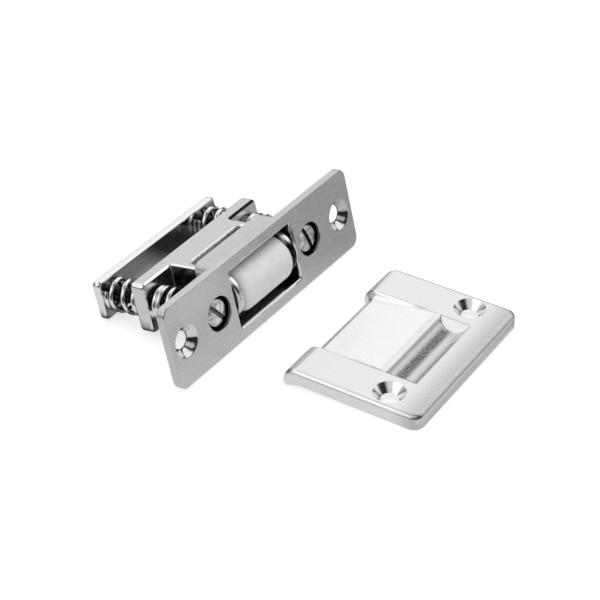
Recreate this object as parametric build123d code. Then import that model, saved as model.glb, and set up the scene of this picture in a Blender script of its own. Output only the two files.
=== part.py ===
from build123d import *
from math import atan2, cos, degrees, radians, sin, tan
import os

# Adjustable roller latch for the edge of a door, with its strike plate, in millimetres.
# X runs along the faceplate, Y into the door and Z up across the faceplate. Depths are measured from the
# faceplate's front, and the finished pieces are then moved so that the origin is the middle of its seat, the
# rear face that lies on the door. The strike plate lies in front, on the bench that both would rest on.

# Faceplate casting
plate_length = 85.7
plate_width = 25.4
plate_thickness = 2.6
plate_corner = 3.0
plate_edge_round = 0.35
mounting_spacing = 73.0
mounting_hole = 5.2
mounting_countersink = 9.3
countersink_angle = 82.0
window_length = 28.6
window_height = 17.8
window_corner = 0.5
collar_wall = 1.6
collar_rear = 11.2
collar_corner = 2.4
collar_fillet = 1.9

# Adjusting screws, and the places in the faceplate that their heads and the front springs bear on
screw_diameter = 4.17
screw_hole = 4.8
screw_end_past_plate = 1.4
screw_end_chamfer = 0.5
head_diameter = 7.9
head_height = 1.75
head_dome = 0.45
head_gap = 0.08
slot_width = 1.0
slot_depth = 0.95
left_slot_angle = 53.4
right_slot_angle = 72.0
recess_diameter = 9.9
recess_depth = 2.6
boss_rim = 1.0
boss_height = 1.4

# Roller and its axle
roller_diameter = 14.4
roller_length = 22.2
roller_end_round = 2.7
roller_projection = 2.5
roller_side_gap = 0.3
axle_diameter = 4.0
axle_clearance = 0.05

# Carriage casting: a cross bar, a block and two round-nosed arms
bar_overhang = 5.05
bar_height = 15.6
bar_thickness = 4.8
bar_front = 21.9
bar_corner = 1.6
block_width = 27.6
nose_front = -1.1
pocket_rear = 16.6
pocket_corner = 1.6
block_fillet = 0.8
casting_edge_bevel = 0.5

# Back plate
back_overhang = 5.55
back_height = 12.2
back_thickness = 2.8
back_front = 38.5
back_corner = 1.6
back_edge_bevel = 0.5
thread_clearance = 0.05

# Coil springs
spring_diameter = 10.4
spring_wire = 1.35
spring_side_gap = 0.55
spring_end_gap = 0.05
closed_turn_gap = 0.05
front_open_turns = 3.5
rear_open_turns = 1.75

# Strike plate casting
strike_length = 55.5
strike_far_edge = 12.2
strike_lip_edge = 30.4
strike_thickness = 4.4
strike_corner = 3.0
lip_corner = 1.2
strike_edge_round = 1.0
strike_hole_spacing = 43.5
strike_hole = 5.0
strike_countersink = 9.1
lip_drop = 2.0
lip_nose_round = 1.6
lip_reach = 6.6
channel_width = 29.4
channel_depth = 2.1
channel_side_slope = 30.0
channel_end = 8.0
trough_length = 29.4
trough_width = 9.6
trough_depth = 2.9
trough_centre = 0.6
trough_end_slope = 8.0

# Where the strike plate lies on the bench, seen from above
strike_x = 3.1
strike_y = -52.6
strike_turn = 2.0

# Sizes worked out from the ones above
half_bar = bar_height / 2
plate_rear = plate_thickness
boss_rear = plate_thickness + boss_height
roller_radius = roller_diameter / 2
roller_y = roller_radius - roller_projection
arm_gap = roller_length + 2 * roller_side_gap
nose_centre = nose_front + half_bar
bar_rear = bar_front + bar_thickness
back_rear = back_front + back_thickness
collar_length = window_length + 2 * collar_wall
collar_height = window_height + 2 * collar_wall
screw_x = collar_length / 2 + spring_side_gap + spring_diameter / 2
boss_diameter = spring_diameter + 2 * boss_rim
bar_length = 2 * (screw_x + bar_overhang)
back_length = 2 * (screw_x + back_overhang)
spring_coil_radius = (spring_diameter - spring_wire) / 2
head_rear = recess_depth - head_gap
lip_bottom = -(strike_thickness + lip_drop)
lip_bend = -lip_bottom - lip_nose_round
bend_start = strike_lip_edge - lip_bend
nose_y = strike_lip_edge - lip_nose_round
underside_end = strike_lip_edge - lip_reach
strike_rest_tilt = degrees(atan2(lip_drop, nose_y + strike_far_edge))
bench_tilt = degrees(atan2(plate_width / 2 - back_height / 2, back_rear - plate_rear))
sides = {"left": -1, "right": 1}


def facing_back(y):
    """A sketch plane across the latch at depth y, whose extrusions run towards the back plate."""
    return Plane(origin=(0, y, 0), x_dir=(1, 0, 0), z_dir=(0, 1, 0))


def rounded_bar(length, height, corner, front, thickness):
    return extrude(facing_back(front) * RectangleRounded(length, height, corner), thickness)


def rod(diameter, front, rear, x=0.0, z=0.0):
    """A round bar along Y."""
    return Pos(x, (front + rear) / 2, z) * Rot(90, 0, 0) * Cylinder(diameter / 2, rear - front)


def cross_pin(diameter, length, y):
    """A round bar along X."""
    return Pos(0, y, 0) * Rot(0, 90, 0) * Cylinder(diameter / 2, length)


def countersunk_hole(hole, mouth, reach):
    """A cutter whose mouth is at the origin and whose hole runs down the local -Z for the given reach."""
    depth = (mouth - hole) / 2 / tan(radians(countersink_angle / 2))
    cone = Pos(0, 0, -depth / 2) * Cone(hole / 2, mouth / 2, depth)
    clear = Pos(0, 0, -reach / 2) * Cylinder(hole / 2, reach)
    above = Pos(0, 0, plate_thickness / 2) * Cylinder(mouth / 2, plate_thickness)
    return cone + clear + above


def faceplate():
    plate = rounded_bar(plate_length, plate_width, plate_corner, 0, plate_thickness)
    collar = rounded_bar(collar_length, collar_height, collar_corner, 0, collar_rear)
    casting = plate + collar
    root = casting.edges().filter_by_position(Axis.Y, plate_rear - 0.01, plate_rear + 0.01)
    inner = root.filter_by(lambda e: abs(e.center().X) < collar_length / 2 + 0.1
                           and abs(e.center().Z) < collar_height / 2 + 0.1)
    casting = fillet(inner, collar_fillet)
    front_rim = casting.faces().sort_by(Axis.Y)[0].edges()
    casting = fillet(front_rim, plate_edge_round)
    for side in sides.values():
        x = side * screw_x
        casting += rod(boss_diameter, plate_thickness / 2, boss_rear, x)
    casting -= extrude(facing_back(-1) * RectangleRounded(window_length, window_height, window_corner),
                       collar_rear + 2)
    for side in sides.values():
        x = side * screw_x
        casting -= rod(recess_diameter, -1, recess_depth, x)
        casting -= rod(screw_hole, 0, boss_rear + 1, x)
        mount = Plane(origin=(side * mounting_spacing / 2, 0, 0), x_dir=(1, 0, 0), z_dir=(0, -1, 0))
        casting -= mount * countersunk_hole(mounting_hole, mounting_countersink, plate_thickness + 1)
    return casting


def carriage():
    """The carriage casting: a plan and a side profile that cut each other, inside the bar's rounded outline."""
    pocket_front = nose_front - 1
    bar = Pos(0, (bar_front + bar_rear) / 2) * Rectangle(bar_length, bar_thickness)
    block = Pos(0, (nose_front + bar_front) / 2) * Rectangle(block_width, bar_front - nose_front)
    pocket = Pos(0, (pocket_front + pocket_rear) / 2) * Rectangle(arm_gap, pocket_rear - pocket_front)
    plan = bar + block - pocket
    roots = plan.vertices().filter_by(
        lambda v: abs(abs(v.X) - block_width / 2) < 0.01 and abs(v.Y - bar_front) < 0.01)
    plan = fillet(roots, block_fillet)
    plan = fillet(plan.vertices().filter_by(lambda v: abs(v.Y - pocket_rear) < 0.01), pocket_corner)
    side = Pos((nose_centre + bar_rear) / 2, 0) * Rectangle(bar_rear - nose_centre, bar_height)
    side += Pos(nose_centre, 0) * Circle(half_bar)
    outline = rounded_bar(bar_length, bar_height, bar_corner, nose_front - 1, bar_rear - nose_front + 2)
    casting = extrude(plan, bar_height, both=True) & extrude(Plane.YZ * side, bar_length, both=True) & outline
    outer_noses = casting.edges().filter_by(
        lambda e: abs(abs(e.center().X) - block_width / 2) < 0.01 and e.center().Y < nose_centre)
    rims = casting.edges().filter_by(
        lambda e: abs(abs(e.center().Z) - half_bar) < 0.01 and abs(e.center().Y - nose_centre) > 0.01)
    rear_rim = casting.faces().sort_by(Axis.Y)[-1].edges()
    casting = chamfer(ShapeList(set(outer_noses + rims + rear_rim)), casting_edge_bevel)
    for side in sides.values():
        casting -= rod(screw_hole, bar_front - 1, bar_rear + 1, side * screw_x)
    return casting - cross_pin(axle_diameter, block_width + 2, roller_y)


def roller():
    body = cross_pin(roller_diameter, roller_length, roller_y)
    body = fillet(body.edges().filter_by(GeomType.CIRCLE), roller_end_round)
    return body - cross_pin(axle_diameter + 2 * axle_clearance, roller_length + 2, roller_y)


def roller_axle():
    return cross_pin(axle_diameter, block_width, roller_y)


def back_plate():
    plate = rounded_bar(back_length, back_height, back_corner, back_front, back_thickness)
    rims = plate.faces().filter_by(Axis.Y).edges()
    plate = chamfer(rims, back_edge_bevel)
    for side in sides.values():
        hole = screw_diameter + 2 * thread_clearance
        plate -= rod(hole, back_front - 1, back_rear + 1, side * screw_x)
    return plate


def adjusting_screw(side, slot_angle):
    """A slotted screw: its domed head in the faceplate's recess, its end just past the back plate."""
    x = side * screw_x
    rim_front = head_rear - head_height + head_dome
    head = rod(head_diameter, rim_front, head_rear, x)
    head_radius = head_diameter / 2
    dome_radius = (head_radius ** 2 + head_dome ** 2) / (2 * head_dome)
    dome = Pos(x, rim_front - head_dome + dome_radius, 0) * Sphere(dome_radius)
    head += dome & rod(head_diameter, rim_front - head_dome, rim_front, x)
    slot = Pos(x, rim_front - head_dome + slot_depth / 2, 0) * Rot(0, slot_angle, 0) * Box(
        head_diameter + 1, slot_depth, slot_width)
    end = back_rear + screw_end_past_plate
    shank = rod(screw_diameter, head_rear, end, x)
    tip = shank.faces().sort_by(Axis.Y)[-1].edges()
    return (head - slot) + chamfer(tip, screw_end_chamfer)


def coil_spring(side, front, rear, open_turns):
    """A compression spring along Y with one closed turn at each end; its wire is drawn six-sided."""
    closed_pitch = spring_wire + closed_turn_gap
    length = rear - front - spring_wire - 2 * spring_end_gap
    open_length = length - 2 * closed_pitch
    stretches = [(closed_pitch, 1), (open_length / open_turns, open_turns), (closed_pitch, 1)]
    turn = 0.0
    height = 0.0
    path = []
    for pitch, turns in stretches:
        helix = Helix(pitch=pitch, height=pitch * turns, radius=spring_coil_radius)
        path.append((Pos(0, 0, height) * Rot(0, 0, turn) * helix).edge())
        turn += 360 * turns
        height += pitch * turns
    centre_line = Wire(path)
    across = Plane(origin=centre_line @ 0, z_dir=centre_line % 0)
    wire_section = across * RegularPolygon(spring_wire / 2, 6)
    coil = sweep(wire_section, path=centre_line, is_frenet=True, transition=Transition.TRANSFORMED)
    start = front + spring_end_gap + spring_wire / 2
    return Pos(side * screw_x, start, 0) * Rot(-90, 0, 0) * coil


def strike_profile():
    """The strike's section along its local Y, towards the lip: a flat, a rounded bend and a turned-down nose."""
    middle = cos(radians(45))
    with BuildSketch(Plane.YZ) as sketch:
        with BuildLine():
            Polyline((nose_y, lip_bottom), (underside_end, -strike_thickness),
                     (-strike_far_edge, -strike_thickness), (-strike_far_edge, 0), (bend_start, 0))
            ThreePointArc((bend_start, 0),
                          (bend_start + lip_bend * middle, lip_bend * (middle - 1)),
                          (strike_lip_edge, -lip_bend))
            ThreePointArc((strike_lip_edge, -lip_bend),
                          (nose_y + lip_nose_round * middle, -lip_bend - lip_nose_round * middle),
                          (nose_y, lip_bottom))
        make_face()
    return sketch.sketch


def strike_channel():
    """The cutter for the ramp that leads the roller in over the lip, with sloping sides."""
    middle = cos(radians(45))
    bend = lip_bend - channel_depth
    with BuildSketch(Plane.YZ) as sketch:
        with BuildLine():
            Polyline((bend_start + bend, -lip_bend), (bend_start + bend, lip_bottom - 1),
                     (strike_lip_edge + 1, lip_bottom - 1), (strike_lip_edge + 1, 1), (channel_end, 1),
                     (channel_end, 0), (bend_start, -channel_depth))
            ThreePointArc((bend_start, -channel_depth),
                          (bend_start + bend * middle, bend * middle - lip_bend),
                          (bend_start + bend, -lip_bend))
        make_face()
    run = extrude(sketch.sketch, channel_width, both=True)
    lean = tan(radians(channel_side_slope))
    top = channel_width / 2 + lean
    bottom = channel_width / 2 + lean * (lip_bottom - 1)
    section = Polygon((-top, -1), (top, -1), (bottom, 1 - lip_bottom), (-bottom, 1 - lip_bottom), align=None)
    return run & extrude(facing_back(channel_end - 1) * section, strike_lip_edge)


def strike_trough():
    """The cutter for the round-bottomed trough that the roller drops into, with sloping ends."""
    half_width = trough_width / 2
    radius = (half_width ** 2 + trough_depth ** 2) / (2 * trough_depth)
    hollow = Pos(0, trough_centre, radius - trough_depth) * Rot(0, 90, 0) * Cylinder(radius, strike_length)
    lean = tan(radians(trough_end_slope))
    top = trough_length / 2 + lean
    bottom = trough_length / 2 - lean * (trough_depth + 1)
    ends = Polygon((-top, 1), (top, 1), (bottom, -trough_depth - 1), (-bottom, -trough_depth - 1), align=None)
    return hollow & extrude(Plane.XZ * ends, trough_width, both=True)


def strike_plate():
    """The strike plate in its own axes: holes on X, lip towards +Y, top at Z zero."""
    casting = extrude(strike_profile(), strike_length / 2, both=True)
    casting = fillet(casting.edges().filter_by(Axis.Z).group_by(Axis.Y)[0], strike_corner)
    bends = casting.edges().filter_by(
        lambda e: abs(abs(e.center().X) - strike_length / 2) < 0.01 and e.geom_type == GeomType.CIRCLE
        and e.center().Z > -lip_bend)
    casting = fillet(bends, strike_edge_round)
    outline_width = strike_lip_edge + strike_far_edge + 2 * lip_corner
    outline = Pos(0, strike_lip_edge - outline_width / 2) * RectangleRounded(
        strike_length, outline_width, lip_corner)
    casting &= extrude(outline, strike_thickness + lip_drop + 1, both=True)
    casting -= strike_channel() + strike_trough()
    for side in sides.values():
        hole = countersunk_hole(strike_hole, strike_countersink, strike_thickness + 1)
        casting -= Pos(side * strike_hole_spacing / 2, 0, 0) * hole
    return casting


def strike_on_bench():
    """Where the strike lies: on its far edge and lip, in front of the latch, on the bench under both."""
    far_height = strike_thickness * cos(radians(strike_rest_tilt)) + strike_far_edge * sin(
        radians(strike_rest_tilt))
    bench = Pos(0, plate_rear, -plate_width / 2) * Rot(bench_tilt, 0, 0)
    return bench * Pos(strike_x, strike_y, far_height) * Rot(strike_rest_tilt, 0, strike_turn)


if __name__ == "__main__":
    os.makedirs("parts", exist_ok=True)
    pieces = {
        "faceplate": faceplate(),
        "carriage": carriage(),
        "roller": roller(),
        "roller_axle": roller_axle(),
        "back_plate": back_plate(),
        "strike_plate": strike_on_bench() * strike_plate(),
    }
    slot_angles = {"left": left_slot_angle, "right": right_slot_angle}
    for name, side in sides.items():
        pieces[name + "_adjusting_screw"] = adjusting_screw(side, slot_angles[name])
        pieces[name + "_front_spring"] = coil_spring(side, boss_rear, bar_front, front_open_turns)
        pieces[name + "_rear_spring"] = coil_spring(side, bar_rear, back_front, rear_open_turns)
    to_seat = Pos(0, -plate_thickness, 0)
    for name, piece in pieces.items():
        placed = to_seat * piece
        export_step(placed, "parts/" + name + ".step")
        print(name, round(placed.volume, 1), placed.bounding_box().size)
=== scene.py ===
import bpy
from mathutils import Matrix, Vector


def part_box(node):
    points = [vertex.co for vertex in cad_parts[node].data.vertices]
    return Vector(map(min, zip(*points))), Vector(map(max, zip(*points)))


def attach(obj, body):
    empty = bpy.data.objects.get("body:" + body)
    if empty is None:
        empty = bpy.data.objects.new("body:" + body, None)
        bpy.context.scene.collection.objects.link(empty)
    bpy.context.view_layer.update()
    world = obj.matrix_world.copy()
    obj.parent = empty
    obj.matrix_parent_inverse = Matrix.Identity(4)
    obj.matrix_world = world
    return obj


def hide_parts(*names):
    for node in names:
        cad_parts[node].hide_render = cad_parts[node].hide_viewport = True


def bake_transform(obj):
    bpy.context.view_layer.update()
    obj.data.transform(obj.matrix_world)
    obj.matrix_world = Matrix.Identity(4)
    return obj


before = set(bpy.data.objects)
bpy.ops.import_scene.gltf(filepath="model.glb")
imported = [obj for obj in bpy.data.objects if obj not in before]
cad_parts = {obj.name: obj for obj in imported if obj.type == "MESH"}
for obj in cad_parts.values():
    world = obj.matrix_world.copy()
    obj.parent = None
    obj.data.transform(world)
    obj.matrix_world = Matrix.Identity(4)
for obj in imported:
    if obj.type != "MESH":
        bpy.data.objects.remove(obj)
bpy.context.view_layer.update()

# %% [markdown]
# # A roller latch and its strike, as in a catalogue photograph
# A roller latch holds a cupboard or passage door shut: a nylon roller on a sprung carriage clicks into the
# trough of a strike plate. The solids come from the CAD model and keep their places and sizes. This script
# gives them their finishes, swaps in finer meshes where the real surface is softer or finer than the solid,
# and sets the camera, the bench and the light.

# %% Imports and units
from math import acos, asin, atan2, cos, hypot, pi, radians, sin, sqrt, tau

import bmesh
import bpy
from mathutils import Matrix, Vector

MM = 0.001
scene = bpy.context.scene

# %% [markdown]
# ## Two small helpers for materials
# A material is a tree of nodes. Colours are given as sRGB hex values, but shaders work in linear
# light, so one function converts them. The other adds a node, sets it and links it in one call, which keeps
# each material short enough to read from top to bottom.

# %% Colour and node helpers


def linear(hex_colour):
    """An sRGB hex colour as the linear RGBA that shaders work in."""
    channels = [int(hex_colour[i:i + 2], 16) / 255 for i in (1, 3, 5)]
    return [c / 12.92 if c <= 0.04045 else ((c + 0.055) / 1.055) ** 2.4 for c in channels] + [1.0]


def add(tree, kind, inputs=(), **settings):
    """Adds a node. Its inputs come in order or by name: a socket is linked, and a value is set."""
    made = tree.nodes.new(kind if "Node" in kind else "ShaderNode" + kind)
    for name, value in settings.items():
        setattr(made, name, value)
    for name, value in (inputs.items() if isinstance(inputs, dict) else enumerate(inputs)):
        if isinstance(value, bpy.types.NodeSocket):
            tree.links.new(value, made.inputs[name])
        else:
            made.inputs[name].default_value = value
    return made


def blank_material(name):
    """A new material with an empty tree."""
    material = bpy.data.materials.new(name)
    material.use_nodes = True
    material.node_tree.nodes.clear()
    return material, material.node_tree


print("sRGB #808080 is", round(linear("#808080")[0], 3), "in linear light")

# %% [markdown]
# ## The camera
# The photograph looks down on the latch from its left front with a long lens, so that parallel edges stay
# nearly parallel. A camera can be placed by hand, but then nothing lines up. This one's direction, distance
# and lens were fitted to the faceplate's corners and holes, so the render lies over the photograph. The
# photographer's camera leaned a little, which the roll repeats. It aims at the middle of the picture.

# %% Camera
azimuth, elevation, roll = radians(-48.287), radians(28.542), radians(-12.573)
aim = Vector((9.798, -4.259, -13.426)) * MM
distance = 558.99 * MM
back = Vector((sin(azimuth) * cos(elevation), -cos(azimuth) * cos(elevation), sin(elevation)))
camera = bpy.data.objects.new("camera", bpy.data.cameras.new("camera"))
camera.data.lens = 117.075
camera.data.sensor_width = 36
camera.location = aim + back * distance
camera.rotation_euler = ((-back).to_track_quat("-Z", "Y").to_matrix()
                         @ Matrix.Rotation(roll, 3, "Z")).to_euler()
camera.data.clip_start, camera.data.clip_end = 0.05, 10
scene.collection.objects.link(camera)
scene.camera = camera
print("camera", [round(c, 4) for c in camera.location])

# %% [markdown]
# ## The light
# Polished metal has no shade of its own: it shows the room. A product photographer therefore builds the
# room from white cards and leaves dark gaps between them, which draw the crisp dark lines along the edges.
# Here the world does the same. Each card is a soft round patch: a direction, the angles in degrees where it
# starts to fade and where it ends, and a strength. Everything else stays almost black. The camera itself
# sees a plain white backdrop, and the Standard view keeps that white.

# %% Studio cards
world = bpy.data.worlds.new("studio")
scene.world = world
world.use_nodes = True
studio = world.node_tree
studio.nodes.clear()
looking = add(studio, "TexCoord").outputs["Generated"]
cards = {
    "overhead softbox": ((0.40, 0.55, 0.73), 27, 49, 1.15),
    "left softbox": ((-0.66, 0.30, 0.68), 12, 38, 1.5),
    "card over the camera": ((-0.44, -0.40, 0.80), 12, 32, 0.9),
    "right strip": ((0.67, -0.42, 0.60), 14, 36, 1.25),
    "low right strip": ((0.66, -0.74, 0.12), 4, 18, 0.5),
}
light = 0.03  # What the dark gaps between the cards give.
for name, (towards, inner, outer, strength) in cards.items():
    aligned = add(studio, "VectorMath", [looking, Vector(towards).normalized()], operation="DOT_PRODUCT",
                  label=name).outputs["Value"]
    spread = add(studio, "MapRange", [aligned, cos(radians(outer)), cos(radians(inner)), 0.0, strength],
                 interpolation_type="SMOOTHSTEP").outputs[0]
    light = add(studio, "Math", [light, spread], operation="ADD").outputs[0]
room = add(studio, "Background", {"Strength": light}).outputs[0]
backdrop = add(studio, "Background", {"Color": linear("#ffffff"), "Strength": 1.0}).outputs[0]
seen = add(studio, "LightPath").outputs["Is Camera Ray"]
both = add(studio, "MixShader", [seen, room, backdrop]).outputs[0]
add(studio, "OutputWorld", {"Surface": both})
scene.view_settings.view_transform = "Standard"
print(len(cards), "studio cards")

# %% [markdown]
# The cards draw the metal, but a white nylon roller mirrors almost nothing and needs plain light on it. Two
# wide area lamps give that, a strong one above and a weak one in front, each with a place and a size in
# metres and a power in watts. They are left out of reflections, so that the metal keeps its look.

# %% Lamps
lamps = {
    "top fill": ((0.1, -0.1, 0.9), 0.9, 6),
    "front fill": ((-0.30, -0.70, 0.25), 0.8, 3.5),
}
for name, (place, size, watts) in lamps.items():
    lamp = bpy.data.lights.new(name, "AREA")
    lamp.shape, lamp.size, lamp.energy = "SQUARE", size, watts
    holder = bpy.data.objects.new(name, lamp)
    holder.location = place
    holder.rotation_euler = (-holder.location).to_track_quat("-Z", "Y").to_euler()
    holder.visible_camera = holder.visible_glossy = False
    scene.collection.objects.link(holder)
print("lamps", list(lamps))

# %% [markdown]
# ## The bench
# The latch lies on its faceplate's lower edge and its back plate, so the bench under it is tilted in the
# latch's own axes. It is a light table: a sheet of matt opal acrylic lit from below, which photographers use
# to keep a white ground free of shadows. Most of its white is its own glow, so that only a faint shade is
# left where the parts touch it. A haze 8 mm wide in the acrylic keeps the eye from seeing a flat colour. The
# table is hidden from reflections, which get a bench of their own below.

# %% Light table
plate_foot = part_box("faceplate")[0][2]
back_foot, back_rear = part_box("back_plate")[0][2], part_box("back_plate")[1][1]
bench_tilt = atan2(back_foot - plate_foot, back_rear)
# Both discs lie a hair below the faceplate's foot, so that no two faces share a place.
floor_gap, glow_gap = 0.02 * MM, 0.05 * MM
bpy.ops.mesh.primitive_circle_add(vertices=128, radius=0.3, fill_type="NGON", rotation=(bench_tilt, 0, 0))
floor = bpy.context.object
floor.name = "floor"
floor.location = (0, 0, plate_foot - floor_gap)
floor.visible_glossy = False
opal, tree = blank_material("matt opal acrylic, lit from below")
here = add(tree, "TexCoord").outputs["Object"]
haze = add(tree, "TexNoise", {"Vector": here, "Scale": 1 / (8 * MM), "Detail": 2.0}).outputs["Fac"]
tone = add(tree, "Mix", {0: haze, 6: linear("#989898"), 7: linear("#9c9c9c")}, data_type="RGBA").outputs[2]
shader = add(tree, "BsdfPrincipled", {"Base Color": tone, "Roughness": 0.9, "Specular IOR Level": 0.1,
                                      "Emission Color": linear("#ffffff"), "Emission Strength": 0.70})
add(tree, "OutputMaterial", {"Surface": shader.outputs[0]})
floor.data.materials.append(opal)
print("bench tilted by", round(bench_tilt / radians(1), 2), "degrees")

# %% [markdown]
# ## The bench as the metal sees it
# A metal face that looks down mirrors the bench next to it. It should be bright where the bench lies open,
# and dark where the latch shades it or where the room behind begins. Only reflections see this second disc,
# and its glow is set in soft pools, each a middle, a half size, a soft edge in mm and a strength. Later pools
# lie over earlier ones. A baked light map could do the same, but a few boxes are easier to steer.

# %% Bench glow


def in_box(tree, here, middle, half, soft=0.01):
    """A mask that is 1 within a box and falls to 0 over a soft edge. All sizes are in mm."""
    off = add(tree, "VectorMath", [here, Vector(middle) * MM], operation="SUBTRACT").outputs[0]
    size = add(tree, "VectorMath", [off], operation="ABSOLUTE").outputs[0]
    axes = add(tree, "SeparateXYZ", [size]).outputs
    mask = 1.0
    for axis, reach in enumerate(half):
        edge = add(tree, "MapRange", [axes[axis], (reach + soft) * MM, reach * MM, 0.0, 1.0],
                   interpolation_type="SMOOTHSTEP").outputs[0]
        mask = add(tree, "Math", [mask, edge], operation="MULTIPLY").outputs[0]
    return mask


glow, tree = blank_material("bench glow")
here = add(tree, "TexCoord").outputs["Object"]
pools = {
    "open bench in front of the plate": ((-25, -25, 0), (30, 22, 50), 30, 0.70),
    "bench to the right": ((75, -50, 0), (25, 30, 50), 40, 0.43),
    "bench to the left": ((-75, 30, 0), (42, 60, 50), 14, 0.72),
    "bench left of the strike": ((-48, -48, 0), (20, 20, 50), 8, 0.72),
    "glow under the strike": ((3, -45, 0), (25, 18, 50), 3, 1.0),
    "bench in front of the strike": ((15, -90, 0), (60, 21, 50), 4, 0.92),
    "shade under the latch": ((0, 21, 0), (27, 18, 50), 6, 0.02),
    "light that leaks in at the left": ((-7, 27, 0), (12, 6, 50), 12, 0.21),
    "shade behind the latch": ((60, 110, 0), (60, 60, 50), 20, 0.10),
    "dark room behind": ((940, 800, 0), (1000, 690, 50), 40, 0.05),
    "shade at the right of the back plate": ((36, 21, 0), (18, 6, 50), 5, 0.02),
}
level = 0.62  # The glow between and beyond the pools.
for name, (middle, half, soft, strength) in pools.items():
    share = in_box(tree, here, middle, half, soft)
    level = add(tree, "Mix", {0: share, 2: level, 3: strength}, label=name).outputs[0]
shader = add(tree, "Emission", {"Strength": level})
add(tree, "OutputMaterial", {"Surface": shader.outputs[0]})
bpy.ops.mesh.primitive_circle_add(vertices=96, radius=1.5, fill_type="NGON", rotation=(bench_tilt, 0, 0))
bench_glow = bpy.context.object
bench_glow.name = "bench_glow"
bench_glow.location = (0, 0, plate_foot - glow_gap)
for ray in ("camera", "diffuse", "transmission", "shadow"):
    setattr(bench_glow, "visible_" + ray, False)
bench_glow.data.materials.append(glow)
print(len(pools), "pools of light on the bench")

# %% [markdown]
# ## Satin chrome
# The faceplate and strike are zinc castings that were brushed with a fine abrasive belt and then chrome
# plated. The brush marks give the eye a soft metal with thin streaks all one way. A real mark is about
# 0.05 mm wide, too fine for the picture, so it is drawn 0.3 to 0.45 mm wide, which is a pixel or more. One
# noise texture, stretched along the brushing, drives the tone, the roughness and a bump together, as a real
# scratch would. Masks made from simple boxes and bores then say which places were finished in another way.
# They are measured in mm on the part itself, so no painted texture or UV map is needed.

# %% Marks, masks and the metal shader
noise_range = (0.3, 0.7)  # Most of the noise lies between these two values.


def marks(tree, here, size):
    """Noise whose marks have the given size in mm along x, y and z."""
    along = add(tree, "Mapping", {"Vector": here, "Scale": Vector(size) * MM}, vector_type="TEXTURE")
    noise = add(tree, "TexNoise", {"Vector": along.outputs[0], "Scale": 1.0, "Detail": 3.0,
                                   "Roughness": 0.65})
    return noise.outputs["Fac"]


def in_bores(tree, here, x, radius, front):
    """A mask that is 1 in the two round holes along Y at x and -x, behind a given depth."""
    axes = add(tree, "SeparateXYZ", [here]).outputs
    across = add(tree, "Math", [axes[0]], operation="ABSOLUTE").outputs[0]
    off = add(tree, "Math", [across, x * MM], operation="SUBTRACT").outputs[0]
    flat = add(tree, "CombineXYZ", {0: off, 2: axes[2]}).outputs[0]
    reach = add(tree, "VectorMath", [flat], operation="LENGTH").outputs["Value"]
    near = add(tree, "Math", [reach, radius * MM], operation="LESS_THAN").outputs[0]
    deep = add(tree, "Math", [axes[1], front * MM], operation="GREATER_THAN").outputs[0]
    return add(tree, "Math", [near, deep], operation="MULTIPLY").outputs[0]


def metal(tree, colour, roughness, height, depth):
    """The metal shader, with a bump whose depth is in mm."""
    bump = add(tree, "Bump", {"Height": height, "Strength": 1.0, "Distance": depth * MM}).outputs[0]
    shader = add(tree, "BsdfPrincipled", {"Base Color": colour, "Metallic": 1.0, "Roughness": roughness,
                                          "Normal": bump}).outputs[0]
    add(tree, "OutputMaterial", {"Surface": shader})


# %% [markdown]
# ## The faceplate's finish
# The faceplate is brushed along its length. Its marks are 5 mm long, and patches of 20 by 8 mm show where the
# belt pressed harder, so the eye sees a calm grey with fine lines. The belt doesn't reach the hollows, the
# countersinks, the window's rim and the rear face. A box, a bore or the way that the faces point finds each
# of them. The hollows are painted nearly black as painted shade, and the others turn brighter and smoother.

# %% Faceplate, where the belt went
screw_x, hole_x = 21.65, 36.5
satin_faceplate, tree = blank_material("satin chrome faceplate, brushed along its length")
coords = add(tree, "TexCoord").outputs
here = coords["Object"]
grain = marks(tree, here, (5, 0.32, 0.32))
cloud = marks(tree, here, (20, 8, 8))
streak = add(tree, "MapRange", [grain, *noise_range, 0.82, 1.0]).outputs[0]
patch = add(tree, "MapRange", [cloud, *noise_range, 0.93, 1.0]).outputs[0]
shade = add(tree, "Math", [streak, patch], operation="MULTIPLY").outputs[0]
tone = add(tree, "Mix", {0: 1.0, 6: linear("#dfdfdf"), 7: shade}, data_type="RGBA",
           blend_type="MULTIPLY").outputs[2]
rough = add(tree, "MapRange", [grain, *noise_range, 0.24, 0.38]).outputs[0]
print(satin_faceplate.name, len(tree.nodes), "nodes so far")

# %% Faceplate, where the belt didn't go
# The collar's inside and the screw recesses are painted nearly black as painted shade.
hollow = in_box(tree, here, (0, 9.1, 0), (14.25, 10.8, 8.85), 0.15)
recesses = in_bores(tree, here, screw_x, 5.05, -1.5)
dark = add(tree, "Math", [hollow, recesses], operation="MAXIMUM").outputs[0]
# The window's rounded rim, the countersinks and the rear face are polished: they draw bright lines.
backward = add(tree, "SeparateXYZ", [coords["Normal"]]).outputs[1]
rear = add(tree, "Math", [backward, 0.9], operation="GREATER_THAN").outputs[0]
seats = in_bores(tree, here, hole_x, 4.75, -2.55)
slanted = add(tree, "Math", [backward, -0.97], operation="GREATER_THAN").outputs[0]
window = in_box(tree, here, (0, -2.4, 0), (15.1, 0.6, 9.8), 0.05)
rim_round = add(tree, "Math", [slanted, window], operation="MULTIPLY").outputs[0]
smooth = add(tree, "Math", [seats, rear], operation="MAXIMUM").outputs[0]
smooth = add(tree, "Math", [smooth, rim_round], operation="MAXIMUM").outputs[0]
for mask, colour in ((dark, "#202020"), (smooth, "#e6e6e6")):
    tone = add(tree, "Mix", {0: mask, 6: tone, 7: linear(colour)}, data_type="RGBA").outputs[2]
rough = add(tree, "Mix", {0: smooth, 2: rough, 3: 0.09}).outputs[0]
height = add(tree, "Mix", {0: smooth, 2: grain, 3: 0.5}).outputs[0]
metal(tree, tone, rough, height, 0.02)
print(satin_faceplate.name, len(tree.nodes), "nodes")

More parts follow.
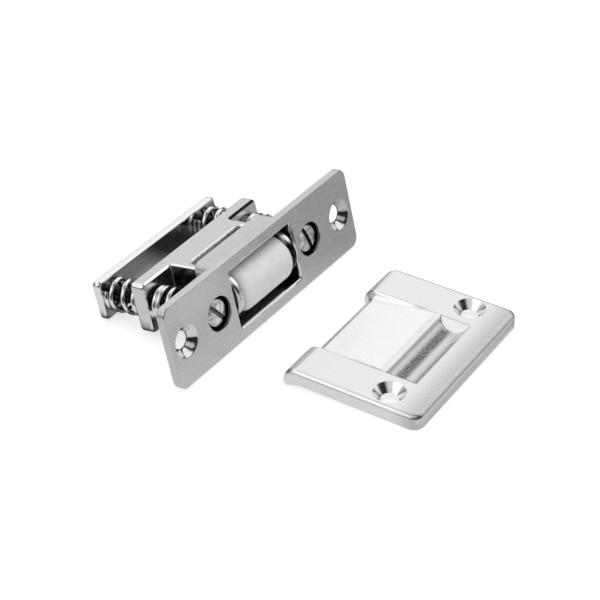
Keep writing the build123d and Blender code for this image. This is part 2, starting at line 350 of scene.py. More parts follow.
# %% [markdown]
# ## Where the strike lies
# The strike is drawn in axes of its own, with its holes along x, its lip towards y and its top at z zero. It
# lies on the bench on its far edge and its lip, so it tilts a little more than the bench does. It could be
# modelled where it lies, but then every size would be slanted. The matrix worked out here places its
# material and, later, its mesh.

# %% Strike sizes and place
strike_half = 55.5 / 2
far_edge, lip_edge = -12.2, 30.4
thickness, lip_drop, lip_reach = 4.4, 2.0, 6.6
# The radii of the rounded bend over the lip and of the nose under it.
bend, nose = 4.8, 1.6
bend_start, nose_y, tip_z = lip_edge - bend, lip_edge - nose, -bend
strike_spot, strike_turn = (3.1, -52.6), radians(2.0)
strike_tilt = atan2(lip_drop, nose_y - far_edge)
lift = thickness * cos(strike_tilt) - far_edge * sin(strike_tilt)
on_bench = Matrix.Translation((0, 0, plate_foot)) @ Matrix.Rotation(bench_tilt, 4, "X")
lying = Matrix.Rotation(strike_tilt, 4, "X") @ Matrix.Rotation(strike_turn, 4, "Z")
strike_to_row = on_bench @ Matrix.Translation(Vector((*strike_spot, lift)) * MM) @ lying
print("strike at", [round(c / MM, 3) for c in strike_to_row.translation], "mm")

# %% [markdown]
# ## Satin chrome on the strike
# The strike is brushed from its lip to its far edge, with marks 6 mm long, and looks lighter than the
# faceplate. The ramped channel is polished by use and nearly white, and the flat beyond the trough is
# painted darker towards the far edge as painted shade. The foot of the trough is painted dark as a painted
# dark reflection; its grain, drawn 0.45 mm wide so that it shows, looks speckled. The countersinks are
# turned after brushing, so they stay mirror bright, and their gloss changes over 2 mm.

# %% Satin chrome strike
satin_strike, tree = blank_material("satin chrome strike, brushed from lip to far edge")
here = add(tree, "Mapping", {"Vector": add(tree, "TexCoord").outputs["Object"],
                             "Location": strike_to_row.to_translation(),
                             "Rotation": strike_to_row.to_euler()}, vector_type="TEXTURE").outputs[0]
grain = marks(tree, here, (0.45, 6, 0.45))
speck = marks(tree, here, (0.45, 0.45, 0.45))
spots = add(tree, "MapRange", [speck, 0.35, 0.65, 0.0, 1.0]).outputs[0]
streak = add(tree, "MapRange", [grain, *noise_range, 0.86, 0.94]).outputs[0]
tone = add(tree, "Mix", {0: 1.0, 6: linear("#ffffff"), 7: streak}, data_type="RGBA",
           blend_type="MULTIPLY").outputs[2]
# The flat beyond the trough is painted darker towards the far edge as painted shade.
far = add(tree, "MapRange", [add(tree, "SeparateXYZ", [here]).outputs[1], -3 * MM, -12 * MM, 0.0, 1.0],
          interpolation_type="SMOOTHSTEP").outputs[0]
far_shade = add(tree, "Mix", {0: spots, 6: linear("#bcbcbc"), 7: linear("#d7d7d7")}, data_type="RGBA").outputs[2]
speckled_tone = add(tree, "Mix", {0: spots, 6: linear("#383838"), 7: linear("#a2a2a2")}, data_type="RGBA").outputs[2]
# The foot of the trough is painted dark as a painted dark reflection, over the casting's speckled grain.
bottom = in_box(tree, here, (-0.5, 2.2, -2.6), (12, 0.5, 0.9), 1.7)
places = {
    "flat beyond the trough": (far, far_shade),
    "ramped channel": (in_box(tree, here, (0, 20, -1), (14, 12, 5), 1.0), linear("#ffffff")),
    "trough": (in_box(tree, here, (0, 0.6, -2.3), (14.6, 4.6, 2.1), 0.1), linear("#e2e2e2")),
    "foot of the trough": (bottom, speckled_tone),
}
for name, (mask, colour) in places.items():
    tone = add(tree, "Mix", {0: mask, 6: tone, 7: colour}, data_type="RGBA", label=name).outputs[2]
rough = add(tree, "MapRange", [grain, *noise_range, 0.24, 0.38]).outputs[0]
height = add(tree, "Mix", {0: bottom, 2: grain, 3: speck}).outputs[0]
metal(tree, tone, rough, height, 0.008)
print(satin_strike.name, len(tree.nodes), "nodes")

# %% Turned countersinks
turned_chrome, tree = blank_material("turned chrome countersink")
here = add(tree, "TexCoord").outputs["Object"]
sheen = marks(tree, here, (2, 2, 2))
rough = add(tree, "MapRange", [sheen, *noise_range, 0.12, 0.22]).outputs[0]
metal(tree, linear("#ececec"), rough, sheen, 0.004)
print(turned_chrome.name, len(tree.nodes), "nodes")

# %% [markdown]
# ## Bright chrome on the carriage
# The carriage casting is polished before plating, with waves 4 mm wide in its reflections, except that its
# top and bottom are brushed along the bar with marks 9 mm long. Its slanted edges catch the cards as thin
# white lines, and are painted white as well, a painted highlight that makes the casting look crisp. The
# pocket behind the roller has a grainy rear wall, as cast, and its sides are painted dark as painted shade.
# The right nose and the edge behind the right spring are painted dark as painted shade too. The way that a
# face points tells the top from the sides and the slanted edges.

# %% Carriage, top and sides
bright_casting, tree = blank_material("bright chrome on zinc casting")
coords = add(tree, "TexCoord").outputs
here = coords["Object"]
facing = add(tree, "SeparateXYZ", [coords["Normal"]]).outputs
upward = add(tree, "Math", [facing[2]], operation="ABSOLUTE").outputs[0]
flat_top = add(tree, "Math", [upward, 0.97], operation="GREATER_THAN").outputs[0]
grain = marks(tree, here, (9, 0.45, 0.45))
wave = marks(tree, here, (4, 4, 4))
streak = add(tree, "MapRange", [grain, *noise_range, 0.88, 1.0]).outputs[0]
tone = add(tree, "Mix", {0: 1.0, 6: linear("#dcdcdc"), 7: streak}, data_type="RGBA",
           blend_type="MULTIPLY").outputs[2]
tone = add(tree, "Mix", {0: flat_top, 6: linear("#dedede"), 7: tone}, data_type="RGBA").outputs[2]
sides = add(tree, "Math", [1.0, flat_top], operation="SUBTRACT").outputs[0]
print(bright_casting.name, len(tree.nodes), "nodes so far")

# %% Carriage, pocket and edges
# The sides of the pocket are painted dark as painted shade.
pocket_shade = add(tree, "Math", [in_box(tree, here, (0, 9.6, 0), (13.95, 9.6, 9), 0.1), sides],
            operation="MULTIPLY").outputs[0]
# The slanted edges are painted white, a painted highlight over what they reflect.
slanted = add(tree, "Math", [upward, 0.5], operation="GREATER_THAN").outputs[0]
chamfers = add(tree, "Math", [slanted, sides], operation="MULTIPLY").outputs[0]
# The edge behind the right spring and the right nose are painted dark as painted shade.
right_edge = in_box(tree, here, (20.5, 19.3, 7.8), (6.5, 0.7, 0.7), 0.1)
right_nose = in_box(tree, here, (12.6, -2.5, -2), (1.4, 2.5, 5), 2.0)
shaded = add(tree, "Math", [right_edge, right_nose], operation="MAXIMUM").outputs[0]
shaded = add(tree, "Math", [shaded, sides], operation="MULTIPLY").outputs[0]
# The grain of the casting is drawn 0.5 mm wide, so that it shows.
cast_wall = in_box(tree, here, (0, 14, 7), (13, 0.3, 2.2), 0.1)
flecks = add(tree, "MapRange", [marks(tree, here, (0.5, 0.5, 0.5)), 0.35, 0.6, 0.0, 1.0]).outputs[0]
speckled_tone = add(tree, "Mix", {0: flecks, 6: linear("#959595"), 7: linear("#ffffff")}, data_type="RGBA").outputs[2]
places = {
    "sides of the pocket": (pocket_shade, linear("#606060")),
    "slanted edges": (chamfers, linear("#ffffff")),
    "painted shade on the right": (shaded, linear("#242424")),
    "rear wall of the pocket": (cast_wall, speckled_tone),
}
for name, (mask, colour) in places.items():
    tone = add(tree, "Mix", {0: mask, 6: tone, 7: colour}, data_type="RGBA", label=name).outputs[2]
print(bright_casting.name, len(tree.nodes), "nodes so far")

# %% Carriage, gloss
# The front is a little less polished than the rest, the top is satin and the pocket's rear wall is matt.
front = in_box(tree, here, (0, 8, 0), (25.6, 11.5, 6.8), 0.1)
satin = add(tree, "MapRange", [grain, *noise_range, 0.24, 0.36]).outputs[0]
polish = add(tree, "MapRange", [wave, *noise_range, 0.07, 0.13]).outputs[0]
rough = add(tree, "Mix", {0: front, 2: polish, 3: 0.24}).outputs[0]
rough = add(tree, "Mix", {0: flat_top, 2: rough, 3: satin}).outputs[0]
rough = add(tree, "Mix", {0: cast_wall, 2: rough, 3: 0.55}).outputs[0]
height = add(tree, "Math", [grain, flat_top], operation="MULTIPLY").outputs[0]
metal(tree, tone, rough, height, 0.02)
print(bright_casting.name, len(tree.nodes), "nodes")

# %% [markdown]
# The back plate is cut from cold-rolled steel bar and nickel plated bright. Rolling leaves it slightly wavy,
# which bends the reflections a little: a shallow noise with waves 5 mm wide does that.

# %% Back plate
bright_bar, tree = blank_material("bright nickel on steel bar")
here = add(tree, "TexCoord").outputs["Object"]
wave = marks(tree, here, (5, 5, 5))
rough = add(tree, "MapRange", [wave, *noise_range, 0.08, 0.18]).outputs[0]
metal(tree, linear("#f4f4f4"), rough, wave, 0.02)
print(bright_bar.name, len(tree.nodes), "nodes")

# %% [markdown]
# ## Steel wire, steel screws and the nylon roller
# The wire and the screws are zinc plated steel. The wire is drawn smooth and shines, with faint uneven spots
# that are drawn 0.6 mm wide. The inside of each coil sees only its neighbours and the screw, so a mask
# paints shade on it.

# %% Wire
spring_finish, tree = blank_material("zinc plated spring wire")
here = add(tree, "TexCoord").outputs["Object"]
drawn = marks(tree, here, (0.6, 0.6, 0.6))
# The inside of each coil is painted dark as painted shade.
inner = in_bores(tree, here, screw_x, 4.4, -5)
tone = add(tree, "Mix", {0: inner, 6: linear("#f2f2f2"), 7: linear("#303030")}, data_type="RGBA").outputs[2]
rough = add(tree, "MapRange", [drawn, *noise_range, 0.07, 0.13]).outputs[0]
metal(tree, tone, rough, drawn, 0.004)
print(spring_finish.name, len(tree.nodes), "nodes")

# %% [markdown]
# The screw heads are tumbled in a barrel, which leaves blotches 1 to 2 mm wide, and the shank is painted
# nearly black as painted shade. The slots' walls are painted dark as painted shade, and their floors are
# painted lighter as painted light. Their grain is finer than a pixel, so it is drawn 0.3 mm wide.

# %% Screws
screw_finish, tree = blank_material("zinc plated steel screw")
here = add(tree, "TexCoord").outputs["Object"]
pits = marks(tree, here, (1.8, 1.8, 1.8))
# The shank is painted nearly black as painted shade.
shank = in_box(tree, here, (0, 19.2, 0), (60, 19, 60), 0.1)
worn = add(tree, "MapRange", [pits, 0.38, 0.62, 0.0, 1.0]).outputs[0]
tone = add(tree, "Mix", {0: worn, 6: linear("#b2b2b2"), 7: linear("#fafafa")}, data_type="RGBA").outputs[2]
tone = add(tree, "Mix", {0: shank, 6: tone, 7: linear("#3a3a3a")}, data_type="RGBA").outputs[2]
rough = add(tree, "MapRange", [pits, *noise_range, 0.10, 0.22]).outputs[0]
metal(tree, tone, rough, pits, 0.008)
print(screw_finish.name, len(tree.nodes), "nodes")

# %% Screw slots
slot_finish, tree = blank_material("oiled dark steel in the screw slots")
coords = add(tree, "TexCoord").outputs
here = coords["Object"]
grit = marks(tree, here, (0.3, 0.3, 0.3))
# The slots' walls are painted dark as painted shade.
tone = add(tree, "Mix", {0: grit, 6: linear("#080808"), 7: linear("#303030")}, data_type="RGBA").outputs[2]
# The floors, which face out of the head, are painted lighter as painted light.
forward = add(tree, "SeparateXYZ", [coords["Normal"]]).outputs[1]
slot_floor = add(tree, "Math", [forward, -0.5], operation="LESS_THAN").outputs[0]
tone = add(tree, "Mix", {0: slot_floor, 6: tone, 7: linear("#868686")}, data_type="RGBA").outputs[2]
rough = add(tree, "MapRange", [grit, *noise_range, 0.35, 0.6]).outputs[0]
metal(tree, tone, rough, grit, 0.02)
print(slot_finish.name, len(tree.nodes), "nodes")

# %% [markdown]
# The roller is moulded nylon. Nylon is slightly see-through: light enters it, spreads and comes out again,
# which softens the shading from edge to edge. Subsurface scattering does that, over 2.5 mm here. Rolling over
# the strike scuffs it, so its tone and gloss change in patches 2.5 mm wide. The fine grain that the mould
# leaves is drawn 0.4 mm wide, so that it shows.

# %% Nylon
nylon, tree = blank_material("moulded white nylon")
here = add(tree, "TexCoord").outputs["Object"]
scuff = marks(tree, here, (2.5, 2.5, 2.5))
worn = add(tree, "MapRange", [scuff, *noise_range, 0.0, 1.0]).outputs[0]
tone = add(tree, "Mix", {0: worn, 6: linear("#c8c8c6"), 7: linear("#d3d3d1")}, data_type="RGBA").outputs[2]
rough = add(tree, "MapRange", [scuff, *noise_range, 0.42, 0.58]).outputs[0]
grainy = marks(tree, here, (0.4, 0.4, 0.4))
bump = add(tree, "Bump", {"Height": grainy, "Strength": 0.6, "Distance": 0.006 * MM}).outputs[0]
shader = add(tree, "BsdfPrincipled", {
    "Base Color": tone, "Roughness": rough, "IOR": 1.53, "Subsurface Weight": 0.35,
    "Subsurface Radius": (1.0, 1.0, 1.0), "Subsurface Scale": 2.5 * MM, "Normal": bump})
add(tree, "OutputMaterial", {"Surface": shader.outputs[0]})
print(nylon.name, len(tree.nodes), "nodes")

# %% [markdown]
# Each solid from the CAD model gets its finish here. The springs, screws and strike are replaced by finer
# meshes further down, so theirs show only if a replacement is left out.

# %% Finishes on the solids
finishes = {
    "faceplate": satin_faceplate, "strike_plate": satin_strike, "carriage": bright_casting,
    "back_plate": bright_bar, "roller": nylon, "roller_axle": screw_finish,
}
for name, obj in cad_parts.items():
    obj.data.materials.clear()
    obj.data.materials.append(finishes.get(name, spring_finish))
print("finishes on", len(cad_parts), "nodes")

# %% [markdown]
# ## Softer edges
# Plating and polishing round every edge of a casting, and it is these rounds that catch the light. The
# solids' meshes are made of loose triangles, so the modifiers first join and merge them and then bevel what
# is left sharp. A bevel could round all edges alike, but the rim of the faceplate's window is rounded most,
# by 0.7 mm, because the roller's carriage must not catch on it. So a small node group sets how much of the
# bevel each edge gets, and the same box mask that the finishes use finds the rim.

# %% Edge rounds


def edge_widths(fine, wide_box=None):
    """A node group: sharp edges get the share fine of the bevel's width, and those in a box all of it."""
    tree = bpy.data.node_groups.new("edge widths", "GeometryNodeTree")
    for way in ("INPUT", "OUTPUT"):
        tree.interface.new_socket("Geometry", in_out=way, socket_type="NodeSocketGeometry")
    shape = add(tree, "NodeGroupInput").outputs[0]
    angle = add(tree, "GeometryNodeInputMeshEdgeAngle").outputs[0]
    sharp = add(tree, "Math", [angle, radians(25)], operation="GREATER_THAN").outputs[0]
    width = fine
    if wide_box:
        inside = in_box(tree, add(tree, "GeometryNodeInputPosition").outputs[0], *wide_box)
        width = add(tree, "Math", [inside, 1 - fine, fine], operation="MULTIPLY_ADD").outputs[0]
    share = add(tree, "Math", [sharp, width], operation="MULTIPLY").outputs[0]
    store = add(tree, "GeometryNodeStoreNamedAttribute", {"Geometry": shape, "Name": "bevel_weight_edge",
                                                          "Value": share}, data_type="FLOAT", domain="EDGE")
    add(tree, "NodeGroupOutput", [store.outputs[0]])
    return tree


def soften(node, width, fine=1.0, wide_box=None):
    """Rounds a solid's edges by a width in mm, or by the share fine of it outside the wide box."""
    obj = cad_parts[node]
    weld = obj.modifiers.new("join split corners", "WELD")
    weld.merge_threshold = 0.0005 * MM
    flat = obj.modifiers.new("merge flat faces", "DECIMATE")
    flat.decimate_type = "DISSOLVE"
    flat.angle_limit = radians(0.5)
    weights = obj.modifiers.new("edge widths", "NODES")
    weights.node_group = edge_widths(fine, wide_box)
    edge = obj.modifiers.new("edge round", "BEVEL")
    edge.width = width * MM
    edge.segments = 3
    edge.limit_method = "WEIGHT"
    edge.use_clamp_overlap = False
    edge.harden_normals = True
    even = obj.modifiers.new("even shading", "WEIGHTED_NORMAL")
    even.keep_sharp = True
    done = obj.evaluated_get(bpy.context.evaluated_depsgraph_get()).data
    print(node, len(obj.data.polygons), "facets, rounded to", len(done.polygons), "faces")


window_rim = ((0, -2.6, 0), (14.4, 0.2, 9.0))
soften("faceplate", 0.7, 0.36, window_rim)
soften("carriage", 0.3)
soften("back_plate", 0.3)

# %% [markdown]
# ## From a bmesh to a piece
# A bmesh is a mesh that can be built up vertex by vertex in code. Four helpers turn one into a finished
# piece: one wraps it in an object with its material and its smooth and sharp edges, one stretches faces
# between rings of vertices, one turns a profile about an axis, and one cuts holes with boolean cutters.

# %% Making pieces
crease = 35  # Edges that bend by more than this many degrees stay sharp.


def show(name, mesh, material, sharp=crease):
    """Turns a bmesh in metres into a smooth-shaded piece with the given finish."""
    bmesh.ops.recalc_face_normals(mesh, faces=mesh.faces)
    for face in mesh.faces:
        face.smooth = True
    made = bpy.data.meshes.new(name)
    mesh.to_mesh(made)
    mesh.free()
    made.set_sharp_from_angle(angle=radians(sharp))
    made.materials.append(material)
    piece = bpy.data.objects.new(name, made)
    scene.collection.objects.link(piece)
    return piece


def skin(mesh, rings, closed=True):
    """Faces between neighbouring rings of vertices."""
    for one, two in zip(rings, rings[1:]):
        for k in range(len(one) if closed else len(one) - 1):
            n = (k + 1) % len(one)
            mesh.faces.new((one[k], one[n], two[n], two[k]))


def turned_shape(name, profile, material, steps=64):
    """A solid of revolution about Z from (radius, z) points in mm; its ends are closed."""
    mesh = bmesh.new()
    # Half a step round, so that no corner of a cutter lies exactly on an edge of what it cuts.
    around = [tau * (k + 0.5) / steps for k in range(steps)]
    rings = [[mesh.verts.new(Vector((radius * cos(a), radius * sin(a), z)) * MM) for a in around]
             for radius, z in profile]
    skin(mesh, rings)
    mesh.faces.new(rings[0])
    mesh.faces.new(rings[-1])
    return show(name, mesh, material)


def carve(piece, *cutters):
    """Cuts the cutters out of a piece, keeps the cutters' finish on the new faces, and removes them."""
    for cutter in cutters:
        cut = piece.modifiers.new("cut", "BOOLEAN")
        cut.object = cutter
        cut.solver = "EXACT"
        cut.material_mode = "TRANSFER"
    done = bpy.data.meshes.new_from_object(piece.evaluated_get(bpy.context.evaluated_depsgraph_get()))
    piece.modifiers.clear()
    piece.data = done
    for cutter in cutters:
        bpy.data.objects.remove(cutter)
    piece.data.set_sharp_from_angle(angle=radians(crease))


# %% [markdown]
# ## The strike
# The real strike is a casting whose channel, trough and rims all run softly into its top. Rounding that
# many shallow edges with bevels fails where the channel fades out, so the top is drawn as a height over the
# plate, and cuts are joined to it with a smooth minimum that rounds every corner. The last number of each
# smooth minimum is how wide that round is in mm.

# %% Corners, channel and trough
corner, rim = 3.0, 1.5
channel_depth, channel_start = 2.1, 8.0
# Half the channel's width at the top, and how much it narrows for each mm of depth.
channel_half, channel_slope = 15.05, 0.62
trough_y, trough_halfwidth, trough_depth = 0.6, 4.8, 2.9
# Half the trough's length at the top, and how steeply its ends fall.
trough_half, trough_end_slope = 14.84, 1.2
trough_radius = (trough_halfwidth ** 2 + trough_depth ** 2) / (2 * trough_depth)
floor_y = bend_start + bend - channel_depth
print("trough radius", round(trough_radius, 2), "mm")

# %% Strike heights


def smaller(a, b, blend):
    """The smaller of two heights, with the corner between them rounded over a blend."""
    close = max(blend - abs(a - b), 0) / blend
    return min(a, b) - close * close * blend / 4


def larger(a, b, blend):
    """The larger of two heights, rounded in the same way."""
    return -smaller(-a, -b, blend)


def rounding(inside):
    """How far a surface drops at a given distance inside a rounded rim."""
    short = max(rim - inside, 0)
    return rim - sqrt(max(rim ** 2 - short ** 2, 0))


def underside(y):
    """The height of the strike's underside: flat, then dropping under the lip, then round the nose."""
    if y > nose_y:
        return tip_z - sqrt(max(nose ** 2 - (y - nose_y) ** 2, 0))
    return -thickness - lip_drop * max(0, y - lip_edge + lip_reach) / (lip_reach - nose)


def end_of(y):
    """How far the strike reaches along x at a given y, with the rounded corners of its far edge."""
    inset = max(0, corner - (y - far_edge))
    return strike_half - corner + sqrt(max(corner ** 2 - inset ** 2, 0))


def channel_cut(x, y):
    """How deep the ramped channel cuts, square to the surface."""
    ramp = channel_depth * (y - channel_start) / (bend_start - channel_start)
    ramp = larger(0, smaller(ramp, channel_depth, 0.3), 0.5)
    side = (channel_half - abs(x)) / channel_slope
    return larger(0, smaller(ramp, side, 0.9), 0.7)


def trough_height(x, y):
    """The height of the trough's round bottom and sloping ends, below 0 inside it."""
    reach = max(trough_radius ** 2 - (y - trough_y) ** 2, 0)
    hollow = trough_radius - trough_depth - sqrt(reach)
    end = -(trough_half - abs(x)) * trough_end_slope
    return larger(hollow, end, 0.5)


def rim_inset(x, y):
    """How far the rounded rim lies inside the sharp outline."""
    out = max(abs(x) - (strike_half - corner), 0)
    up = max(far_edge + corner - y, 0)
    return rounding(corner - hypot(out, up)) if out or up else 0.0


print("channel", round(channel_cut(0, bend_start), 2), "mm deep, trough",
      round(-trough_height(0, trough_y), 2), "mm")

# %% [markdown]
# The height is worked out where columns along x cross rows along y. A fine even grid would do, but most of
# its faces would lie on flat metal. So the marks lie close together at the rims, the channel's sides, the
# trough and the bend, and wide apart elsewhere.

# %% Columns and rows
straight_half = 16.5  # Columns further out than this are drawn in at the far edge's rounded corners.
columns = [-strike_half + rim * (1 - cos(radians(a))) for a in range(0, 91, 9)]
columns += [-26.0, -25.0, -24.0, -22.5, -21, -19.5, -18, -17, -16.5]
columns += [-16.2 + 0.1 * i for i in range(37)]
columns += [-12.3, -12.0, -11.6, -11, -10, -8.5, -7, -5.5, -4, -2.5, -1]
columns += [-c for c in reversed(columns)]
rows = [far_edge + rim * (1 - cos(radians(a))) for a in range(0, 91, 9)]
rows += [-10.4, -10.0, -9.6, -9.2, -8.6, -8, -7.2, -6.4, -5.8]
rows += [-5.4 + 0.15 * i for i in range(81)]
rows += [7.0 + 0.3 * i for i in range(9)] + [10 + 0.8 * i for i in range(18)] + [24.1, 24.7, 25.2]
rows += [bend_start + bend * sin(radians(a)) for a in range(0, 91, 5)]
print(len(columns), "columns and", len(rows), "rows")

# %% Strike points


def across(x_mark, y):
    """A column's x in a row, drawn in where the corners round off."""
    reach = abs(x_mark) - straight_half
    if reach <= 0:
        return x_mark
    x = straight_half + reach * (end_of(y) - straight_half) / (strike_half - straight_half)
    return x if x_mark > 0 else -x


def top_point(x_mark, y):
    """A point of the top: straight up from the plate as far as the bend, then square to the bend."""
    x = across(x_mark, y)
    # The channel fades in just before its ramp starts, and keeps its depth round the bend.
    cut = channel_cut(x, min(y, bend_start + 0.01)) if y > channel_start - 2 else 0.0
    if y <= bend_start:
        no_trough = 9
        low = trough_height(x, y) if abs(y - trough_y) < trough_radius else no_trough
        return Vector((x, y, smaller(-cut, low, 0.8) - rim_inset(x, y)))
    angle = asin(min(1, (y - bend_start) / bend))
    reach = bend - cut - rim_inset(x, y)
    return Vector((x, bend_start + reach * sin(angle), -bend + reach * cos(angle)))


def bottom_point(x_mark, y):
    """A point of the underside, which draws back under the lip where the channel cuts through the nose."""
    x = across(x_mark, y)
    share = channel_cut(x, bend_start) / channel_depth if y > bend_start else 0
    towards_nose = max(0, (y - lip_edge + lip_reach) / (lip_reach - nose))
    outer = Vector((x, y, underside(y) + rim_inset(x, y) * towards_nose))
    if y > nose_y:
        drawn_in = rim_inset(x, y)
        angle = acos(min(1, (y - nose_y) / nose))
        outer = Vector((x, nose_y + (nose - drawn_in) * cos(angle), tip_z - (nose - drawn_in) * sin(angle)))
        inner = Vector((x, floor_y, tip_z + (underside(floor_y) - tip_z) * angle / (pi / 2)))
    else:
        inner_y = bend_start + (y - bend_start) * (floor_y - bend_start) / (nose_y - bend_start)
        inner = Vector((x, inner_y, underside(inner_y)))
    return outer.lerp(inner, min(share, 1)) if share > 0 else outer


print("underside of the nose in the channel at", [round(c, 2) for c in bottom_point(0, nose_y)], "mm")

# %% Strike mesh
mesh = bmesh.new()
top = [[mesh.verts.new(top_point(x, y) * MM) for y in rows] for x in columns]
bottom = [[mesh.verts.new(bottom_point(x, y) * MM) for y in rows[:-1]] + [top[k][-1]]
          for k, x in enumerate(columns)]
skin(mesh, top, closed=False)
skin(mesh, bottom, closed=False)
skin(mesh, [[column[0] for column in top], [column[0] for column in bottom]], closed=False)
for k in (0, -1):
    skin(mesh, [top[k][:-1], bottom[k][:-1]], closed=False)
    mesh.faces.new((top[k][-2], top[k][-1], bottom[k][-2]))
strike = show("strike_casting", mesh, satin_strike)
print("strike faces", len(strike.data.polygons))

# %% [markdown]
# The strike's two holes are countersunk at 82 degrees for wood screws. Each is one turned shape that is cut
# out of the mesh: a cylinder, a cone and a small round at the mouth, where brushing has worn the edge.

# %% Strike holes
hole, mouth, strike_spacing, sink_angle = 2.5, 4.55, 43.5, radians(82 / 2)
sink = (mouth - hole) / sin(sink_angle) * cos(sink_angle)
profile = [(hole, -6), (hole, -sink), (mouth, -0.02)]
profile += [(mouth + out, up) for out, up in ((0.06, 0.03), (0.16, 0.08), (0.3, 0.1), (0.3, 1))]
cutters = []
for side in (-1, 1):
    cutter = turned_shape("countersink", profile, turned_chrome)
    cutter.location = Vector((side * strike_spacing / 2, 0, 0)) * MM
    cutters.append(cutter)
bpy.context.view_layer.update()
carve(strike, *cutters)
strike.data.transform(strike_to_row)
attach(strike, "frame")
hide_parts("strike_plate")
print("strike with holes", len(strike.data.polygons), "faces")

# %% [markdown]
# ## The springs
# Each spring is round wire wound on a helix. A curve with a bevel would also do, but rings of vertices along
# the helix let the spacing of the turns change. The front springs are wound close at both ends and open in
# the middle. The rear ones are cut from an open coil, so only their ends lie flat. A spring stretches
# between two bodies when it moves. The front ones cross two joints, so each is split where its third turn
# ends.

# %% Wire coils
spring_wire, spring_gap = 1.35, 0.05
coil_radius = (10.4 - spring_wire) / 2
steps_a_turn, wire_corners = 48, 14
nearby = 0.01  # The part of a turn over which the wire's rise is measured.


def wire_coil(name, x, front, rear, windings, start, first=0.0, last=None):
    """A round-wire coil along y in row mm, from turn first to turn last.

    windings lists its turns from front to rear as (how many, spacing in mm). A spacing of None takes what
    is left of the length.
    """
    turns = sum(count for count, spacing in windings)
    last = last or turns
    length = rear - front - spring_wire - 2 * spring_gap
    open_turns = sum(count for count, spacing in windings if spacing is None)
    pitch = (length - sum(count * spacing for count, spacing in windings if spacing)) / open_turns

    def along(turn):
        """How far the wire has come along y at a turn."""
        place = 0
        for count, spacing in windings:
            place += min(max(turn, 0), count) * (pitch if spacing is None else spacing)
            turn -= count
        return place

    mesh = bmesh.new()
    steps = int((last - first) * steps_a_turn)
    around = [tau * k / wire_corners for k in range(wire_corners)]
    rings = []
    for i in range(steps + 1):
        turn = first + (last - first) * i / steps
        angle = tau * turn + start
        rise = 0
        if nearby < turn < turns - nearby:
            rise = (along(turn + nearby) - along(turn - nearby)) / (2 * nearby)
        out = Vector((cos(angle), 0, -sin(angle)))
        forward = Vector((-sin(angle), 0, -cos(angle))) * tau * coil_radius + Vector((0, rise, 0))
        up = forward.normalized().cross(out)
        middle = Vector((x, front + spring_gap + spring_wire / 2 + along(turn), 0)) + out * coil_radius
        rings.append([mesh.verts.new((middle + (out * cos(a) + up * sin(a)) * spring_wire / 2) * MM)
                      for a in around])
    skin(mesh, rings)
    mesh.faces.new(rings[0][::-1])
    mesh.faces.new(rings[-1])
    return show(name, mesh, spring_finish, sharp=60)


# %% [markdown]
# The front springs sit between the faceplate's bosses and the bar, and the rear ones between the bar and the
# back plate, each 0.05 mm clear of what it seats on. Their turns were counted and placed from the photograph.
# Closed turns lie 1.4 mm apart, which is a little more than the wire.

# %% Four springs
boss_rear, bar_front, bar_rear, back_front = 1.4, 19.3, 24.1, 35.9
closed, split = 1.4, 3
front_windings = [(1, closed), (3.5, None), (2, closed)]
rear_windings = [(0.25, 0.2), (1, 3.7), (1, None), (1.1, 1.8)]
middle = (boss_rear + bar_front) / 2
for side, sign in (("left", -1), ("right", 1)):
    x = sign * screw_x
    front_spring = (x, boss_rear, bar_front, front_windings, 0)
    front_half = wire_coil(side + "_front_coil_front_half", *front_spring, last=split)
    rear_half = wire_coil(side + "_front_coil_rear_half", *front_spring, first=split)
    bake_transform(front_half)
    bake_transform(rear_half)
    for half in (front_half, rear_half):
        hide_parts(side + "_front_spring")
    rear_coil = wire_coil(side + "_rear_coil", x, bar_rear, back_front, rear_windings, pi / 2)
    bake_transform(rear_coil)
    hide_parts(side + "_rear_spring")
    print(side, "springs", len(front_half.data.polygons) + len(rear_half.data.polygons), "and",
          len(rear_coil.data.polygons), "faces")

# %% [markdown]
# ## The adjusting screws
# Each screw has a low domed head in a recess of the faceplate, a plain neck and a rolled thread that runs
# through the bar and into the back plate. A thread modelled as a helical sweep is heavy, so the shank is
# rings of 48 vertices whose radius rises and falls once a turn, with the wave shifted from vertex to vertex.
# The slot is cut with a boolean, so that its walls are real and keep a finish of their own.

# %% Screw thread
screw_end, thread_start = 40.1, 5.0
pitch, neck_radius, crest_radius, root_radius = 0.7938, 2.065, 2.085, 1.65
# The share of the wave that is flat at the root, and the share that its flank takes.
root_flat, flank = 0.12, 0.7
run_in = 0.8
end_radius, end_slope = crest_radius - 0.55, 1.1


def thread_radius(y, turn):
    """The shank's radius at y and at a part of a turn round it: neck, thread and blunt end."""
    if y < thread_start:
        return neck_radius
    wave = abs(((y / pitch - turn) % 1) * 2 - 1)
    crest = min(max((wave - root_flat) / flank, 0), 1)
    fade = min(1, (y - thread_start) / run_in)
    radius = crest_radius - (crest_radius - root_radius) * (1 - crest) * fade
    return min(radius, end_radius + (screw_end - y) * end_slope)


print("thread has", round((screw_end - thread_start) / pitch, 1), "turns")

# %% Screw head
head_rear, head_height, head_dome, head_radius = -0.08, 1.75, 0.45, 3.95
head_round, head_chamfer, pin_point = 0.4, 0.12, 0.01
dome_radius = (head_radius ** 2 + head_dome ** 2) / (2 * head_dome)


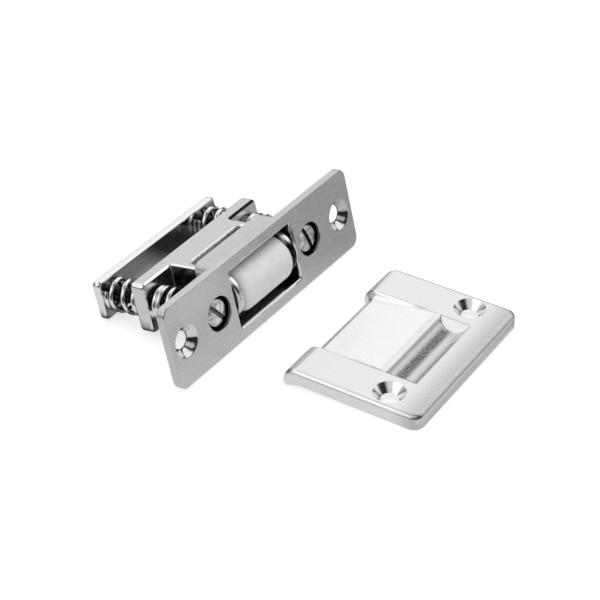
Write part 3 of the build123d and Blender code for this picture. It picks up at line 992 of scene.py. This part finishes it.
def head_profile():
    """Points (radius, y) over the domed head, from its middle to the shank."""
    face = head_rear - head_height
    points = []
    for i in range(9):
        r = pin_point + (head_radius - head_round - pin_point) * i / 8
        points.append((r, face + dome_radius - sqrt(dome_radius ** 2 - r ** 2)))
    edge_y = points[-1][1]
    for a in (18, 36, 54, 72, 90):
        inward = head_round * (1 - sin(radians(a)))
        points.append((head_radius - inward, edge_y + head_round * (1 - cos(radians(a)))))
    points += [(head_radius, head_rear - head_chamfer), (head_radius - head_chamfer, head_rear)]
    return points + [(crest_radius, head_rear)]


print("head of", len(head_profile()), "rings, domed to a radius of", round(dome_radius, 1), "mm")

# %% Both screws
corners, rings_a_turn = 48, 8
slot_length, slot_depth, slot_width = 10, 0.95, 1.35


def adjusting_screw(side, sign, slot_angle):
    """Makes the left or right screw, with its slot turned by an angle in degrees."""
    mesh = bmesh.new()
    around = [tau * k / corners for k in range(corners)]
    rings = [[mesh.verts.new(Vector((r * cos(a), y, r * sin(a))) * MM) for a in around]
             for r, y in head_profile()]
    heights = [head_rear + 0.3, 2, 4]
    heights += [thread_start + pitch / rings_a_turn * i
                for i in range(int((screw_end - thread_start) * rings_a_turn / pitch))]
    for y in heights + [screw_end]:
        radii = [thread_radius(y, k / corners) for k in range(corners)]
        rings.append([mesh.verts.new(Vector((r * cos(a), y, r * sin(a))) * MM)
                      for r, a in zip(radii, around)])
    skin(mesh, rings)
    mesh.faces.new(rings[0])
    mesh.faces.new(rings[-1])
    piece = show(side + "_slotted_screw", mesh, screw_finish)
    bpy.ops.mesh.primitive_cube_add(size=1)
    slot = bpy.context.object
    slot.data.materials.append(slot_finish)
    slot.scale = Vector((slot_length, slot_depth, slot_width)) * MM
    slot.rotation_euler = (0, radians(slot_angle), 0)
    slot.location = Vector((0, head_rear - head_height + slot_depth / 2, 0)) * MM
    bpy.context.view_layer.update()
    carve(piece, slot)
    piece.data.transform(Matrix.Translation(Vector((sign * screw_x, 0, 0)) * MM))
    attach(piece, side + "_screw")
    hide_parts(side + "_adjusting_screw")
    print(piece.name, len(piece.data.polygons), "faces")


adjusting_screw("left", -1, 53.4)
adjusting_screw("right", 1, 72.0)
